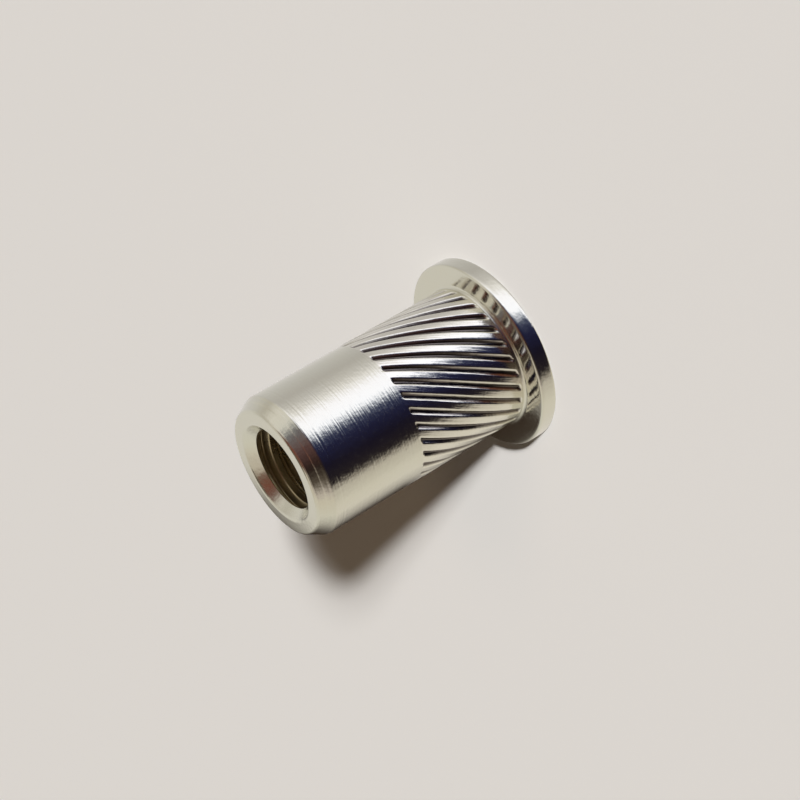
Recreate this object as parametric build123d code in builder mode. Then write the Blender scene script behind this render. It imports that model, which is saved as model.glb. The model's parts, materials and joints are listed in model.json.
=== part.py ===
from build123d import *

# Open-ended rivet nut, M6, with a flat head and a helically knurled body, turned from one piece of
# steel. The frame stands it on its head: the outer face of the flange lies on Z = 0, the axis is
# +Z and the threaded nose is at the top. All sizes are in millimetres.

import os
from math import pi, radians, tan

# Thread, bored here to the size that is drilled for tapping
thread_diameter = 6.0
tapping_allowance = 0.9
thread_length = 6.6  # from the nose down to the drilled shoulder

# Turned outside
total_length = 16.0
plain_length = 7.2  # smooth stretch above the knurl, chamfer included
shank_diameter = 8.95
nose_chamfer_width = 0.55
nose_chamfer_length = 1.0
nose_edge_radius = 0.4  # where the chamfer runs into the shank
flange_diameter = 12.0
flange_thickness = 1.1
flange_edge_radius = 0.15
neck_radius = 0.2  # under the flange

# Bored inside
countersink_diameter = 6.2
countersink_angle = 90.0
clearance_bore_diameter = 7.0
shoulder_angle = 118.0  # left by the drill
head_chamfer = 0.25

# Rolled knurl
knurl_diameter = 9.0
knurl_lead_in = 0.6  # slight taper from the crests down to the shank, which eases it into its hole
collar_length = 0.4  # smooth neck between the flange and the grooves
groove_count = 29
groove_angle = 30.5  # between a groove and the axis, right-hand
groove_width = 0.44
groove_depth = 0.18
head_runout = 0.3  # length over which a groove rises to the collar
nose_runout = 0.1  # the same, at the smooth shank

# Radii and heights that follow from the sizes above
shank_radius = shank_diameter / 2
nose_radius = shank_radius - nose_chamfer_width
knurl_radius = knurl_diameter / 2
flange_radius = flange_diameter / 2
clearance_radius = clearance_bore_diameter / 2
tapping_radius = (thread_diameter - tapping_allowance) / 2
countersink_radius = countersink_diameter / 2
countersink_depth = (countersink_radius - tapping_radius) / tan(radians(countersink_angle / 2))
shoulder_height = (clearance_radius - tapping_radius) / tan(radians(shoulder_angle / 2))
shoulder_top = total_length - thread_length
knurl_top = total_length - plain_length
knurl_bottom = flange_thickness + collar_length
groove_lead = 2 * pi * knurl_radius / tan(radians(groove_angle))
groove_overshoot = head_runout + nose_runout + groove_width  # clears the sloped ends


def circles_of(part, radius):
    """Circular edges of one radius, from the lowest to the highest."""
    circles = part.edges().filter_by(GeomType.CIRCLE)
    return circles.filter_by(lambda edge: abs(edge.radius - radius) < 1e-4).sort_by(Axis.Z)


# One groove of the knurl: a V swept along a helix on the crests. Its mouth stands proud of the
# crests by the groove's depth, and it overshoots both ends of the knurl.
with BuildPart() as groove:
    with BuildLine():
        groove_path = Helix(
            groove_lead,
            knurl_top - knurl_bottom + 2 * groove_overshoot,
            knurl_radius,
            center=(0, 0, knurl_bottom - groove_overshoot),
        )
    with BuildSketch(Plane(groove_path @ 0, x_dir=(1, 0, 0), z_dir=groove_path % 0)):
        with BuildLine():
            Polyline(
                (-groove_depth, 0),
                (groove_depth, -groove_width),
                (groove_depth, groove_width),
                close=True,
            )
        make_face()
    sweep(path=groove_path, is_frenet=True)

    # The knurling wheel's sloped ends give each groove its run-outs.
    with BuildSketch(Plane.XZ.rotated((0, 0, 180))):
        with BuildLine():
            Polyline(
                (knurl_radius + groove_depth, knurl_bottom - head_runout),
                (knurl_radius + groove_depth, knurl_top + nose_runout),
                (knurl_radius - 2 * groove_depth, knurl_top - 2 * nose_runout),
                (knurl_radius - 2 * groove_depth, knurl_bottom + 2 * head_runout),
                close=True,
            )
        make_face()
    revolve(axis=Axis.Z, mode=Mode.INTERSECT)


with BuildPart() as rivet_nut:
    # The outside as it leaves the lathe
    with BuildSketch(Plane.XZ):
        with BuildLine():
            Polyline(
                (0, 0),
                (flange_radius, 0),
                (flange_radius, flange_thickness),
                (knurl_radius, flange_thickness),
                (knurl_radius, knurl_top - knurl_lead_in),
                (shank_radius, knurl_top),
                (shank_radius, total_length - nose_chamfer_length),
                (nose_radius, total_length),
                (0, total_length),
                close=True,
            )
        make_face()
    revolve(axis=Axis.Z)
    fillet(circles_of(rivet_nut, flange_radius), flange_edge_radius)
    fillet(circles_of(rivet_nut, knurl_radius)[0], neck_radius)
    fillet(circles_of(rivet_nut, shank_radius)[-1], nose_edge_radius)

    # Stepped bore: clearance through the knurled length, then the thread and its countersink
    with BuildSketch(Plane.XZ):
        with BuildLine():
            Polyline(
                (0, 0),
                (clearance_radius + head_chamfer, 0),
                (clearance_radius, head_chamfer),
                (clearance_radius, shoulder_top - shoulder_height),
                (tapping_radius, shoulder_top),
                (tapping_radius, total_length - countersink_depth),
                (countersink_radius, total_length),
                (0, total_length),
                close=True,
            )
        make_face()
    revolve(axis=Axis.Z, mode=Mode.SUBTRACT)

    with PolarLocations(0, groove_count):
        add(groove.part, mode=Mode.SUBTRACT)

rivet_nut.part.label = "rivet_nut"

os.makedirs("parts", exist_ok=True)
export_step(rivet_nut.part, "parts/rivet_nut.step")
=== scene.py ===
import json
from math import atan2, ceil, cos, hypot, pi, radians, sin, tan

import bmesh
import bpy
from mathutils import Matrix, Vector


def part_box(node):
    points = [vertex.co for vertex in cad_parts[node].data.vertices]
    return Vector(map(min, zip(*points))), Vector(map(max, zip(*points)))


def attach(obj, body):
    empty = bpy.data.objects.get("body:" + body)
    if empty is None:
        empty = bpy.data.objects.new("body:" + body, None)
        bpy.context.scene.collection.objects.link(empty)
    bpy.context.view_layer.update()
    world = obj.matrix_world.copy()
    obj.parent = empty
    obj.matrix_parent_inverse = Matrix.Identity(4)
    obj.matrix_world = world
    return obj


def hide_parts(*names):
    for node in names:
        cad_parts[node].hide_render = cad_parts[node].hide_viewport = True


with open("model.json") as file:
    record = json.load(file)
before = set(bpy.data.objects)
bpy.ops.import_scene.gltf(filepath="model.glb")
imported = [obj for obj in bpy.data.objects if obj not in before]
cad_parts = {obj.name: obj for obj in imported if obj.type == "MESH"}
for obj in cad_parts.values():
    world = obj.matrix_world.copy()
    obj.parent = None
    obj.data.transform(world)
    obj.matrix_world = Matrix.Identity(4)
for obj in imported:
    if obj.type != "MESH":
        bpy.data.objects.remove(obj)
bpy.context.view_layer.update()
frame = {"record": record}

mm = 0.001
nodeName = "rivet_nut"
lowCorner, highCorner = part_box(nodeName)
mounts = {mount["name"]: mount for mount in frame["record"]["mounts"]}
mountRadius = {name: mount["dims"]["r_mm"] * mm
               for name, mount in mounts.items() if "r_mm" in mount["dims"]}
print("frame", nodeName, len(mounts), "mounts")

# turned blank: flange, neck, shank and nose, counted up from the head
skin = {
    "length": highCorner.z,
    "flangeRadius": highCorner.x,
    "flangeThickness": mounts["flange_seat"]["pos_m"][2],
    "flangeEdge": 0.15 * mm,  # how far a rounding reaches along each side
    "neck": 0.2 * mm,
    "shankRadius": mountRadius["shank"],
    "noseRadius": mountRadius["shank"] - 0.55 * mm,
    "noseLength": 1.0 * mm,
    "noseEdge": 0.1 * mm,
    "lipEdge": 0.1 * mm,
    "mouthRadius": 3.1 * mm,
    "mouthEdge": 0.11 * mm,
    "mouthDepth": 0.121 * mm,  # how far the skin follows the countersink
    "boreRadius": mountRadius["clearance_bore"],
    "boreTop": 8.5 * mm,
    "boreChamfer": 0.25 * mm,
    "outside": mountRadius["clearance_bore"] + 0.5 * mm,  # what is wider is on the outer side
    "rings": 40,  # rows along the plain shank
    "sharpAngle": radians(32),
    "mergeDistance": 0.001 * mm,
    "rimReach": 0.005 * mm,  # how near to its circle an open rim lies
}

# rolled knurl: V grooves along a helix, with round crests between them
knurl = {
    "radius": 4.5 * mm,
    "bottom": skin["flangeThickness"] + 0.25 * mm,
    "top": 8.8 * mm,
    "leadIn": 0.6 * mm,
    "grooves": 29,
    "angle": radians(30.5),
    "start": 0.66 * mm,  # where groove 0 crosses the XZ plane
    "width": 0.42 * mm,
    "depth": 0.18 * mm,
    "valleyRound": 0.1,
    "crestRound": 0.07,
    "headRunout": 0.15 * mm,
    "noseRunout": 0.12 * mm,
    "rows": 30,
    "columns": (0.12, 0.4, 0.7, 0.98, 1.22, 1.48, 1.76),  # in half widths from a groove's middle
}

# tapped hole: one helical groove, opened into a cone at each end
thread = {
    "pitch": 1.0 * mm,
    "majorRadius": 2.98 * mm,
    "minorRadius": mountRadius["thread"],
    "crestWidth": 0.34 * mm,
    "rootWidth": 0.13 * mm,
    "edge": 0.03 * mm,
    "top": highCorner.z - 0.14 * mm,  # on the countersink, just inside its edge
    "coneFoot": highCorner.z - (skin["mouthRadius"] - mountRadius["thread"]),
    "runout": 0.35 * mm,  # from the countersink down to a full groove
    "runoutRows": 3,
    "bottom": 8.83 * mm,
    "start": radians(265),  # turns the thread about the axis
    "shoulderAngle": radians(59),
    "steps": 120,
    "mergeDistance": 0.002 * mm,
}


def wire(bm, points, cuts):
    # a line of edges in the XZ plane; cuts gives extra points by edge number
    verts = [bm.verts.new((r, 0, z)) for r, z in points]
    edges = [bm.edges.new(pair) for pair in zip(verts, verts[1:])]
    for number, count in cuts.items():
        bmesh.ops.subdivide_edges(bm, edges=[edges[number]], cuts=count)


def roundCorner(bm, place, reach, segments=4):
    corner = min(bm.verts, key=lambda vert: hypot(vert.co.x - place[0], vert.co.z - place[1]))
    bmesh.ops.bevel(bm, geom=[corner], offset=reach, segments=segments, profile=0.5,
                    affect="VERTICES", material=-1)


def spinUp(bm, angle, steps, rise=0, copies=False):
    bmesh.ops.spin(bm, geom=bm.verts[:] + bm.edges[:] + (bm.faces[:] if copies else []),
                   cent=(0, 0, 0), axis=(0, 0, 1), dvec=(0, 0, rise), angle=angle, steps=steps,
                   use_merge=False, use_normal_flip=False, use_duplicate=copies)


def cutLevel(bm, height, side=1, clear=False):
    bmesh.ops.bisect_plane(bm, geom=bm.verts[:] + bm.edges[:] + bm.faces[:],
                           plane_co=(0, 0, height), plane_no=(0, 0, side), clear_outer=clear)


def grooveDepth(across, z):
    # depth at a distance from a groove's middle, shallower at its two ends
    def valley(offset):
        fall = 1 - hypot(offset / (knurl["width"] / 2), knurl["valleyRound"])
        return (fall + hypot(fall, knurl["crestRound"])) / 2
    spacing = 2 * pi * knurl["radius"] / knurl["grooves"] * cos(knurl["angle"])
    depth = knurl["depth"] * (valley(across) - valley(spacing / 2))
    fromHead = (z - knurl["bottom"]) / knurl["headRunout"]
    fromNose = (knurl["top"] - z) / knurl["noseRunout"]
    return depth * max(0, min(fromHead, fromNose, 1))


def isKnurled(radius, z):
    return radius > skin["outside"] and knurl["bottom"] < z < knurl["top"]


def pressKnurl(bm):
    # turns the columns along the helix and sinks the grooves between them
    half = knurl["columns"]
    columns = [-c for c in reversed(half)] + list(half)
    spacing = 2 * pi / knurl["grooves"]
    halfWidth = knurl["width"] / 2 / cos(knurl["angle"]) / knurl["radius"]
    for vert in bm.verts:
        x, y, z = vert.co
        radius = hypot(x, y)
        groove, column = divmod(round(atan2(y, x) / spacing * len(columns)), len(columns))
        away = columns[column] * halfWidth
        rise = min(max(z, knurl["bottom"]), knurl["top"]) - knurl["start"]
        angle = groove * spacing + away + rise * tan(knurl["angle"]) / knurl["radius"]
        if isKnurled(radius, z):
            radius -= grooveDepth(away * knurl["radius"] * cos(knurl["angle"]), z)
        vert.co = (radius * cos(angle), radius * sin(angle), z)


def buildSkin(bm):
    points = [
        (skin["boreRadius"], skin["boreTop"]),
        (skin["boreRadius"], skin["boreChamfer"]),
        (skin["boreRadius"] + skin["boreChamfer"], 0),
        (skin["flangeRadius"], 0),
        (skin["flangeRadius"], skin["flangeThickness"]),
        (knurl["radius"], skin["flangeThickness"]),
        (knurl["radius"], knurl["bottom"]),
        (knurl["radius"], knurl["bottom"] + knurl["headRunout"]),
        (knurl["radius"], knurl["top"] - knurl["leadIn"]),
        (skin["shankRadius"], knurl["top"]),
        (skin["shankRadius"], skin["length"] - skin["noseLength"]),
        (skin["noseRadius"], skin["length"]),
        (skin["mouthRadius"], skin["length"]),
        (skin["mouthRadius"] - skin["mouthDepth"], skin["length"] - skin["mouthDepth"]),
    ]
    wire(bm, points, {2: 7, 3: 3, 4: 5, 6: 6, 7: knurl["rows"], 8: 12, 9: skin["rings"], 10: 8, 11: 4})
    roundCorner(bm, points[3], skin["flangeEdge"])
    roundCorner(bm, points[4], skin["flangeEdge"])
    roundCorner(bm, points[5], skin["neck"])
    roundCorner(bm, points[10], skin["noseEdge"])
    roundCorner(bm, points[11], skin["lipEdge"], 5)
    roundCorner(bm, points[12], skin["mouthEdge"])
    sector = 2 * pi / knurl["grooves"]
    spinUp(bm, sector, 2 * len(knurl["columns"]))
    spinUp(bm, 2 * pi - sector, knurl["grooves"] - 1, copies=True)
    bmesh.ops.remove_doubles(bm, verts=bm.verts, dist=skin["mergeDistance"])
    pressKnurl(bm)
    print("skin", len(bm.verts), "points")


def buildThread(bm):
    flank = (thread["pitch"] - thread["crestWidth"] - thread["rootWidth"]) / 2
    low = thread["bottom"] - thread["pitch"]
    points = [
        (thread["minorRadius"], low),
        (thread["minorRadius"], low + thread["crestWidth"]),
        (thread["majorRadius"], low + thread["crestWidth"] + flank),
        (thread["majorRadius"], low + thread["crestWidth"] + flank + thread["rootWidth"]),
        (thread["minorRadius"], low + thread["pitch"]),
    ]
    wire(bm, points, {0: 2, 1: 4, 3: 4})
    for point in points[1:4]:
        roundCorner(bm, point, thread["edge"], 2)
    spinUp(bm, 2 * pi, thread["steps"], thread["pitch"] / thread["steps"])
    turn = bm.verts[:] + bm.edges[:] + bm.faces[:]
    for number in range(1, ceil((thread["top"] - low) / thread["pitch"]) + 1):
        copied = bmesh.ops.duplicate(bm, geom=turn)["geom"]
        verts = [item for item in copied if isinstance(item, bmesh.types.BMVert)]
        bmesh.ops.translate(bm, verts=verts, vec=(0, 0, thread["pitch"] * number))
    bmesh.ops.remove_doubles(bm, verts=bm.verts, dist=thread["mergeDistance"])
    bmesh.ops.rotate(bm, verts=bm.verts, cent=(0, 0, 0), matrix=Matrix.Rotation(thread["start"], 3, "Z"))
    cutLevel(bm, thread["bottom"], -1, clear=True)
    cutLevel(bm, thread["top"], 1, clear=True)
    for number in range(thread["runoutRows"] + 1):
        cutLevel(bm, thread["coneFoot"] - number * thread["runout"] / thread["runoutRows"])
    for vert in bm.verts:
        radius = hypot(vert.co.x, vert.co.y)
        depth = min(1, max(0, (thread["coneFoot"] - vert.co.z) / thread["runout"]))
        groove = thread["minorRadius"] + (radius - thread["minorRadius"]) * depth
        shoulder = skin["boreRadius"] - (vert.co.z - thread["bottom"]) * tan(thread["shoulderAngle"])
        countersink = skin["mouthRadius"] - (skin["length"] - vert.co.z)
        vert.co.xy *= max(groove, shoulder, countersink) / radius
    print("thread", len(bm.verts), "points")


def addMesh(bm, other):
    mesh = bpy.data.meshes.new("joined")
    other.to_mesh(mesh)
    bm.from_mesh(mesh)
    bpy.data.meshes.remove(mesh)


def addObject(name, bm):
    mesh = bpy.data.meshes.new(name)
    bm.to_mesh(mesh)
    bm.free()
    added = bpy.data.objects.new(name, mesh)
    bpy.context.scene.collection.objects.link(added)
    return added


def openRim(bm, radius, height):
    # the open edges nearest to a circle
    def off(vert):
        return hypot(hypot(vert.co.x, vert.co.y) - radius, vert.co.z - height)
    rim = [edge for edge in bm.edges if edge.is_boundary]
    return [edge for edge in rim if max(off(vert) for vert in edge.verts) < skin["rimReach"]]


def buildNut():
    bm = bmesh.new()
    buildSkin(bm)
    inside = bmesh.new()
    buildThread(inside)
    addMesh(bm, inside)
    inside.free()
    skinEnd = (skin["mouthRadius"] - skin["mouthDepth"], skin["length"] - skin["mouthDepth"])
    threadEnd = (skin["mouthRadius"] - skin["length"] + thread["top"], thread["top"])
    boreEnd = (skin["boreRadius"], skin["boreTop"])
    shoulderEnd = (skin["boreRadius"], thread["bottom"])
    for first, second in ((skinEnd, threadEnd), (boreEnd, shoulderEnd)):
        bmesh.ops.bridge_loops(bm, edges=openRim(bm, *first) + openRim(bm, *second))
    bmesh.ops.recalc_face_normals(bm, faces=bm.faces)
    for face in bm.faces:
        face.smooth = True
        middle = face.calc_center_median()
        radius = hypot(middle.x, middle.y)
        if isKnurled(radius, middle.z):
            face.material_index = 1
        elif thread["bottom"] < middle.z < thread["coneFoot"] and radius < skin["boreRadius"]:
            face.material_index = 2
    for edge in bm.edges:
        edge.smooth = edge.calc_face_angle(0) < skin["sharpAngle"]
    print("nut", len(bm.faces), "faces,", sum(edge.is_boundary for edge in bm.edges), "open edges")
    return addObject("nutBody", bm)


# bright zinc plating over the marks of the lathe, the rolls and the tap
zinc = {
    "turned": {"color": (0.78, 0.77, 0.71), "warm": (0.79, 0.77, 0.68),
               "roughness": 0.12, "grainDepth": 0.009 * mm},
    "knurled": {"color": (0.90, 0.87, 0.83), "warm": (0.79, 0.77, 0.68),
                "roughness": 0.14, "grainDepth": 0.009 * mm},
    "tapped": {"color": (0.58, 0.50, 0.34), "warm": (0.44, 0.37, 0.24),
               "roughness": 0.30, "grainDepth": 0.003 * mm},
    # painted shade: colour at the bottom of the knurl's grooves
    "groove": (0.19, 0.165, 0.155),
    "crest": (0.12 * mm, 0.02 * mm),  # depths below the crests, from full painted shade to none
    "countersinkRoughness": 0.08,  # added to the turned faces' own
    "spotRoughness": 0.08,
    "spotGrain": (0.5, 0.75),  # grain at which spots begin and are full
    "dullClouds": (0.3, 0.7),
    "dullShares": (0.8, 1.25),  # of the roughness, at either end of the clouds
    "cloudSize": 2.222 * mm,
    "grainSize": 0.26 * mm,
    "ringSpacing": 0.13 * mm,
    "ringDepth": 0.010 * mm,
    "ringLean": -0.6,  # carries the rings on from the shank over the faces
    "flangeRings": 0.3,  # how deep they are on the flange
    "ringHeights": (1 * mm, 3 * mm),  # between which they grow to full depth
    "ridgeSpacing": 0.30 * mm,  # coarser marks at the nose
    "ridgeDepth": 0.024 * mm,
    "ridgeBelow": (1.9 * mm, 0.9 * mm),  # below the lip, from none to full depth
    "ridgeEdge": 0.08 * mm,
    "streakSpacing": 0.10 * mm,
    "streakDepth": 0.011 * mm,
    "streakStretch": 0.06,
}


def mathOf(tree, operation, *values):
    node = tree.nodes.new("ShaderNodeMath")
    node.operation = operation
    for socket, value in zip(node.inputs, values):
        if isinstance(value, (int, float)):
            socket.default_value = value
        else:
            tree.links.new(value, socket)
    return node.outputs["Value"]


def rangeOf(tree, value, start, end, low=0, high=1, smooth=False):
    node = tree.nodes.new("ShaderNodeMapRange")
    node.interpolation_type = "SMOOTHSTEP" if smooth else "LINEAR"
    node.inputs["From Min"].default_value = start
    node.inputs["From Max"].default_value = end
    node.inputs["To Min"].default_value = low
    node.inputs["To Max"].default_value = high
    tree.links.new(value, node.inputs["Value"])
    return node.outputs["Result"]


def noiseOf(tree, place, size, detail=2, socket="Vector"):
    noise = tree.nodes.new("ShaderNodeTexNoise")
    noise.noise_dimensions = "1D" if socket == "W" else "3D"
    noise.inputs["Scale"].default_value = 1 / size
    noise.inputs["Detail"].default_value = detail
    tree.links.new(place, noise.inputs[socket])
    return noise.outputs["Fac"]


def mixOf(tree, factor, first, second):
    mix = tree.nodes.new("ShaderNodeMix")
    mix.data_type = "RGBA"
    tree.links.new(factor, mix.inputs["Factor"])
    for socket, color in ((mix.inputs[6], first), (mix.inputs[7], second)):
        if isinstance(color, tuple):
            socket.default_value = (*color, 1)
        else:
            tree.links.new(color, socket)
    return mix.outputs[2]


def blendOf(tree, factor, first, second):
    blend = tree.nodes.new("ShaderNodeMixShader")
    tree.links.new(factor, blend.inputs["Fac"])
    tree.links.new(first, blend.inputs[1])
    tree.links.new(second, blend.inputs[2])
    return blend.outputs["Shader"]


def partsOf(tree, vector):
    split = tree.nodes.new("ShaderNodeSeparateXYZ")
    tree.links.new(vector, split.inputs["Vector"])
    return split.outputs


def radiusOf(tree, place):
    flat = tree.nodes.new("ShaderNodeVectorMath")
    flat.operation = "MULTIPLY"
    flat.inputs[1].default_value = (1, 1, 0)
    tree.links.new(place, flat.inputs[0])
    length = tree.nodes.new("ShaderNodeVectorMath")
    length.operation = "LENGTH"
    tree.links.new(flat.outputs["Vector"], length.inputs[0])
    return length.outputs["Value"]


def addBump(tree, height, depth):
    bump = tree.nodes.new("ShaderNodeBump")
    bump.inputs["Distance"].default_value = depth
    tree.links.new(height, bump.inputs["Height"])
    normal = tree.nodes["Principled BSDF"].inputs["Normal"]
    if normal.is_linked:
        tree.links.new(normal.links[0].from_socket, bump.inputs["Normal"])
    tree.links.new(bump.outputs["Normal"], normal)


def zincMaterial(marks):
    look = zinc[marks]
    material = bpy.data.materials.new(marks + "Zinc")
    material.use_nodes = True
    tree = material.node_tree
    shader = tree.nodes["Principled BSDF"]
    shader.inputs["Metallic"].default_value = 1
    place = tree.nodes.new("ShaderNodeTexCoord").outputs["Object"]
    clouds = noiseOf(tree, place, zinc["cloudSize"], 3)
    tree.links.new(mixOf(tree, clouds, look["color"], look["warm"]), shader.inputs["Base Color"])
    least, most = (look["roughness"] * share for share in zinc["dullShares"])
    dullAndShaded = rangeOf(tree, clouds, *zinc["dullClouds"], least, most)
    grain = noiseOf(tree, place, zinc["grainSize"])
    spots = rangeOf(tree, grain, *zinc["spotGrain"], 0, zinc["spotRoughness"])
    tree.links.new(mathOf(tree, "ADD", dullAndShaded, spots), shader.inputs["Roughness"])
    addBump(tree, grain, look["grainDepth"])
    return material, tree, place


def turnedZinc():
    # rings cut by the lathe, along the axis on the shank and outwards on the faces
    material, tree, place = zincMaterial("turned")
    radius = radiusOf(tree, place)
    height = partsOf(tree, place)["Z"]
    roughness = tree.nodes["Principled BSDF"].inputs["Roughness"]
    coarser = rangeOf(tree, radius, skin["mouthRadius"], skin["mouthRadius"] - skin["mouthEdge"],
                      0, zinc["countersinkRoughness"])
    tree.links.new(mathOf(tree, "ADD", roughness.links[0].from_socket, coarser), roughness)
    along = mathOf(tree, "MULTIPLY_ADD", radius, zinc["ringLean"], height)
    rings = noiseOf(tree, along, zinc["ringSpacing"], 2, "W")
    fading = rangeOf(tree, height, *zinc["ringHeights"], zinc["flangeRings"])
    addBump(tree, mathOf(tree, "MULTIPLY", rings, fading), zinc["ringDepth"])
    ridges = noiseOf(tree, along, zinc["ridgeSpacing"], 1, "W")
    nearNose = rangeOf(tree, height, *(skin["length"] - below for below in zinc["ridgeBelow"]))
    outside = rangeOf(tree, radius, skin["noseRadius"], skin["noseRadius"] + zinc["ridgeEdge"])
    ridges = mathOf(tree, "MULTIPLY", ridges, nearNose)
    addBump(tree, mathOf(tree, "MULTIPLY", ridges, outside), zinc["ridgeDepth"])
    return material


def knurledZinc():
    # fine streaks that the rolls leave along the grooves, and painted shade in the grooves
    material, tree, place = zincMaterial("knurled")
    height = partsOf(tree, place)["Z"]
    straight = tree.nodes.new("ShaderNodeVectorRotate")
    straight.rotation_type = "Z_AXIS"
    tree.links.new(place, straight.inputs["Vector"])
    twist = mathOf(tree, "MULTIPLY", height, -tan(knurl["angle"]) / knurl["radius"])
    tree.links.new(twist, straight.inputs["Angle"])
    squash = tree.nodes.new("ShaderNodeMapping")
    squash.inputs["Scale"].default_value = (1, 1, zinc["streakStretch"])
    tree.links.new(straight.outputs["Vector"], squash.inputs["Vector"])
    streaks = noiseOf(tree, squash.outputs["Vector"], zinc["streakSpacing"])
    addBump(tree, streaks, zinc["streakDepth"])
    # painted shade: the base colour darkens towards the groove bottoms
    dullAndShaded, unshaded = (knurl["radius"] - below for below in zinc["crest"])
    crest = rangeOf(tree, radiusOf(tree, place), dullAndShaded, unshaded, smooth=True)
    color = tree.nodes["Principled BSDF"].inputs["Base Color"]
    tree.links.new(mixOf(tree, crest, zinc["groove"], color.links[0].from_socket), color)
    return material


def tappedZinc():
    return zincMaterial("tapped")[0]


stage = {
    "floorSize": 1.2,
    "floorColor": (0.745, 0.73, 0.705, 1),
    "floorRoughness": 0.8,
    "cameraAzimuth": radians(-90.63),
    "cameraFromAxis": radians(65.2),
    "cameraDistance": 116.6 * mm,
    "cameraNear": 1 * mm,
    "cameraRoll": radians(-120.37),
    "lens": 89.94,
    "aim": (0.846 * mm, 0.525 * mm),
}


def buildFloor():
    bm = bmesh.new()
    bmesh.ops.create_grid(bm, x_segments=1, y_segments=1, size=stage["floorSize"] / 2)
    floor = addObject("floor", bm)
    material = bpy.data.materials.new("paleFloor")
    material.use_nodes = True
    shader = material.node_tree.nodes["Principled BSDF"]
    shader.inputs["Base Color"].default_value = stage["floorColor"]
    shader.inputs["Roughness"].default_value = stage["floorRoughness"]
    floor.data.materials.append(material)
    floor.visible_glossy = False
    print("floor")


def buildCamera():
    camera = bpy.data.objects.new("camera", bpy.data.cameras.new("camera"))
    bpy.context.scene.collection.objects.link(camera)
    camera.data.lens = stage["lens"]
    camera.data.clip_start = stage["cameraNear"]
    turn = Matrix.Rotation(stage["cameraAzimuth"], 3, "Z")
    away = Vector((sin(stage["cameraFromAxis"]), 0, cos(stage["cameraFromAxis"])))
    upright = Vector((-cos(stage["cameraFromAxis"]), 0, sin(stage["cameraFromAxis"])))
    level = Vector((0, 1, 0))
    roll = stage["cameraRoll"]
    right = level * cos(roll) + upright * sin(roll)
    up = upright * cos(roll) - level * sin(roll)
    middle = Vector((0, 0, skin["length"] / 2))
    place = middle + turn @ (away * stage["cameraDistance"])
    aim = middle + turn @ (right * stage["aim"][0] + up * stage["aim"][1])
    back = (place - aim).normalized()
    right = (turn @ right - back * back.dot(turn @ right)).normalized()
    up = back.cross(right)
    camera.matrix_world = Matrix.Translation(place) @ Matrix((right, up, back)).transposed().to_4x4()
    bpy.context.scene.camera = camera
    bpy.context.scene.view_settings.view_transform = "Standard"
    print("camera")


# soft light, each as direction to it (counted from the camera's side), strength, width and color
lamps = {
    "keyLight": ((0.923, 0.143, 0.358), 4.1, 3, (1, 1, 1)),
    "secondLight": ((0.917, 0.175, 0.358), 3.4, 6, (1, 1, 1)),
    "sideLight": ((0.596, 0.402, 0.695), 0.20, 18, (1, 0.72, 0.45)),
}


def buildLamps():
    turn = Matrix.Rotation(stage["cameraAzimuth"], 3, "Z")
    for name, (toLight, energy, width, color) in lamps.items():
        light = bpy.data.lights.new(name, "SUN")
        light.energy = energy
        light.color = color
        light.angle = radians(width)
        lamp = bpy.data.objects.new(name, light)
        bpy.context.scene.collection.objects.link(lamp)
        lamp.rotation_euler = (turn @ Vector(toLight)).to_track_quat("Z", "Y").to_euler()
        lamp.visible_glossy = False
    print("lamps", len(lamps))


# what the metal mirrors, in degrees from the camera's side: low stripes, high ones, those overhead
room = {
    "low": [
        (-180, (0.74, 0.70, 0.64)), (-132, (0.74, 0.70, 0.62)), (-96, (0.72, 0.68, 0.58)),
        (-70, (0.56, 0.52, 0.44)), (-62, (0.28, 0.25, 0.21)), (-56, (0.02, 0.015, 0.016)),
        (-30, (0.01, 0.008, 0.018)), (-6, (0.015, 0.016, 0.05)), (10, (0.05, 0.06, 0.12)),
        (16, (0.50, 0.54, 0.64)), (23, (1.25, 1.28, 1.42)), (48, (1.22, 1.22, 1.34)),
        (60, (0.95, 0.93, 0.92)), (74, (0.66, 0.64, 0.62)), (96, (0.51, 0.49, 0.465)),
        (130, (0.60, 0.585, 0.56)), (180, (0.75, 0.72, 0.69)),
    ],
    "high": [
        (-180, (0.69, 0.665, 0.60)), (-120, (0.70, 0.68, 0.59)), (-84, (0.67, 0.62, 0.51)),
        (-70, (0.57, 0.51, 0.45)), (-60, (0.31, 0.27, 0.23)), (-48, (0.10, 0.08, 0.06)),
        (-24, (0.022, 0.013, 0.010)), (-10, (0.048, 0.023, 0.020)), (12, (0.11, 0.058, 0.055)),
        (26, (0.15, 0.115, 0.115)), (40, (0.16, 0.15, 0.16)), (48, (0.34, 0.34, 0.33)),
        (60, (0.74, 0.72, 0.66)), (84, (0.76, 0.73, 0.66)), (106, (0.52, 0.49, 0.42)),
        (135, (0.69, 0.67, 0.61)), (180, (0.69, 0.665, 0.60)),
    ],
    "overhead": [
        (-180, (0.62, 0.58, 0.50)), (-44, (0.60, 0.54, 0.44)), (-18, (0.17, 0.085, 0.058)),
        (25, (0.20, 0.062, 0.036)), (70, (0.13, 0.062, 0.044)), (98, (0.62, 0.58, 0.50)),
    ],
    "zenith": [(0, (0.12, 0.10, 0.07))],
    "reach": {"high": (-0.15, 0.30), "overhead": (0.70, 0.87), "zenith": (0.93, 0.975)},  # by height
    "lean": [(-45, 0), (5, 1), (60, 1), (110, 0)],  # how much a low stripe leans
    "leanAngle": -35,
    "leanFoot": 0.42,
    "wall": (0.70, 0.67, 0.62, 1),
    "fill": (0.045, 0.026, 0.013, 1),
}


def rampOf(tree, factor, stops, span=360):
    # stops are counted both ways from the middle of a span
    ramp = tree.nodes.new("ShaderNodeValToRGB")
    elements = ramp.color_ramp.elements
    elements.remove(elements[1])
    for number in range(1, len(stops)):
        elements.new(number / len(stops))
    for element, (place, color) in zip(elements, stops):
        element.position = place / span + 0.5
        element.color = (*color, 1)
    tree.links.new(factor, ramp.inputs["Fac"])
    return ramp.outputs["Color"]


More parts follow.
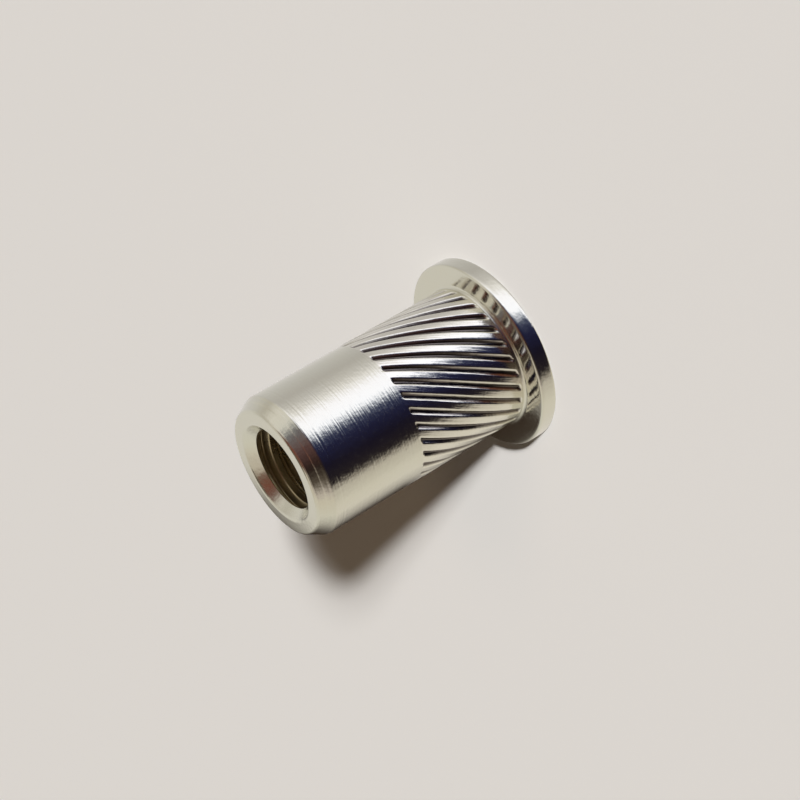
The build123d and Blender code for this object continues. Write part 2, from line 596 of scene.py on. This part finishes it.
def grayRampOf(tree, factor, stops, span=360):
    return rampOf(tree, factor, [(place, (value,) * 3) for place, value in stops], span)


def backgroundOf(tree, color):
    background = tree.nodes.new("ShaderNodeBackground")
    background.inputs["Color"].default_value = color
    return background


def buildWorld():
    world = bpy.data.worlds.new("softRoom")
    bpy.context.scene.world = world
    world.use_nodes = True
    tree = world.node_tree
    tree.nodes.clear()
    turn = tree.nodes.new("ShaderNodeMapping")
    turn.inputs["Rotation"].default_value = (0, 0, -stage["cameraAzimuth"])
    coords = tree.nodes.new("ShaderNodeTexCoord")
    tree.links.new(coords.outputs["Generated"], turn.inputs["Vector"])
    height = partsOf(tree, turn.outputs["Vector"])["Z"]
    gradient = tree.nodes.new("ShaderNodeTexGradient")
    gradient.gradient_type = "RADIAL"
    tree.links.new(turn.outputs["Vector"], gradient.inputs["Vector"])
    around = gradient.outputs["Fac"]
    rise = mathOf(tree, "ADD", height, room["leanFoot"])
    shift = mathOf(tree, "MULTIPLY", rise, room["leanAngle"] / 360)
    shift = mathOf(tree, "MULTIPLY", shift, grayRampOf(tree, around, room["lean"]))
    color = rampOf(tree, mathOf(tree, "ADD", around, shift), room["low"])
    for name, (bottom, top) in room["reach"].items():
        reach = rangeOf(tree, height, bottom, top, smooth=True)
        color = mixOf(tree, reach, color, rampOf(tree, around, room[name]))
    mirrored = tree.nodes.new("ShaderNodeBackground")
    tree.links.new(color, mirrored.inputs["Color"])
    wall = backgroundOf(tree, room["wall"])
    fill = backgroundOf(tree, room["fill"])
    path = tree.nodes.new("ShaderNodeLightPath").outputs
    lit = blendOf(tree, path["Is Diffuse Ray"], wall.outputs["Background"], fill.outputs["Background"])
    seen = blendOf(tree, path["Is Glossy Ray"], lit, mirrored.outputs["Background"])
    tree.links.new(seen, tree.nodes.new("ShaderNodeOutputWorld").inputs["Surface"])
    print("room")


# painted shadow: a dark card seen only in the metal's mirror, close along one side of the nut, darkening
# the reflection as a contact shadow would
card = {
    "side": radians(-142),  # from the camera's side
    "headDistance": 6.0 * mm,
    "noseDistance": 4.47 * mm,
    "foot": 1.0 * mm,
    "size": 44 * mm,
    # colour of the painted shadow
    "color": (0.035, 0.023, 0.015, 1),
    "acrossSpan": 20,  # in mm, as the places below
    "across": [(-6, 0), (-2, 0.92), (1, 1), (2.6, 0.98), (3.4, 0.87),
               (4.1, 0.64), (5.1, 0.32), (6.8, 0)],  # place and darkness of the painted shadow
    "alongSpan": 40,
    "along": [(-1, 0), (1, 1), (4.2, 1), (5, 0.6), (7.2, 0.6), (8.4, 1), (15.8, 1), (17.5, 0)],
}


def paintedShadowMaterial(side):
    material = bpy.data.materials.new("paintedShadowCard")
    material.use_nodes = True
    tree = material.node_tree
    tree.nodes.clear()
    place = tree.nodes.new("ShaderNodeTexCoord").outputs["Object"]
    across = tree.nodes.new("ShaderNodeVectorMath")
    across.operation = "DOT_PRODUCT"
    across.inputs[1].default_value = (-sin(side), cos(side), 0)
    tree.links.new(place, across.inputs[0])
    shadowDarkness = []
    for distance, way in ((across.outputs["Value"], "across"), (partsOf(tree, place)["Z"], "along")):
        span = card[way + "Span"]
        scaled = mathOf(tree, "MULTIPLY", distance, 1 / (span * mm))
        shadowDarkness.append(grayRampOf(tree, mathOf(tree, "ADD", scaled, 0.5), card[way], span))
    # painted shadow: clear where its darkness is nil, dark near the nut
    clear = tree.nodes.new("ShaderNodeBsdfTransparent")
    shade = tree.nodes.new("ShaderNodeEmission")
    shade.inputs["Color"].default_value = card["color"]
    surface = blendOf(tree, mathOf(tree, "MULTIPLY", *shadowDarkness), clear.outputs["BSDF"],
                      shade.outputs["Emission"])
    tree.links.new(surface, tree.nodes.new("ShaderNodeOutputMaterial").inputs["Surface"])
    return material


def buildCard():
    bm = bmesh.new()
    bmesh.ops.create_grid(bm, x_segments=1, y_segments=1, size=card["size"] / 2)
    side = stage["cameraAzimuth"] + card["side"]
    tilt = atan2(card["headDistance"] - card["noseDistance"], skin["length"] - 2 * card["foot"])
    place = (Matrix.Rotation(side, 4, "Z")
             @ Matrix.Translation((card["headDistance"], 0, card["foot"]))
             @ Matrix.Rotation(-tilt, 4, "Y")
             @ Matrix.Translation((0, 0, skin["length"] / 2))
             @ Matrix.Rotation(pi / 2, 4, "Y"))
    bmesh.ops.transform(bm, matrix=place, verts=bm.verts)
    paintedShadowCard = addObject("paintedShadowCard", bm)
    paintedShadowCard.data.materials.append(paintedShadowMaterial(side))
    paintedShadowCard.visible_camera = False
    paintedShadowCard.visible_diffuse = False
    paintedShadowCard.visible_shadow = False
    paintedShadowCard.visible_transmission = False
    print("card")


nutBody = buildNut()
for material in (turnedZinc(), knurledZinc(), tappedZinc()):
    nutBody.data.materials.append(material)
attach(nutBody, "root")
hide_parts(nodeName)
buildFloor()
buildCard()
buildWorld()
buildLamps()
buildCamera()
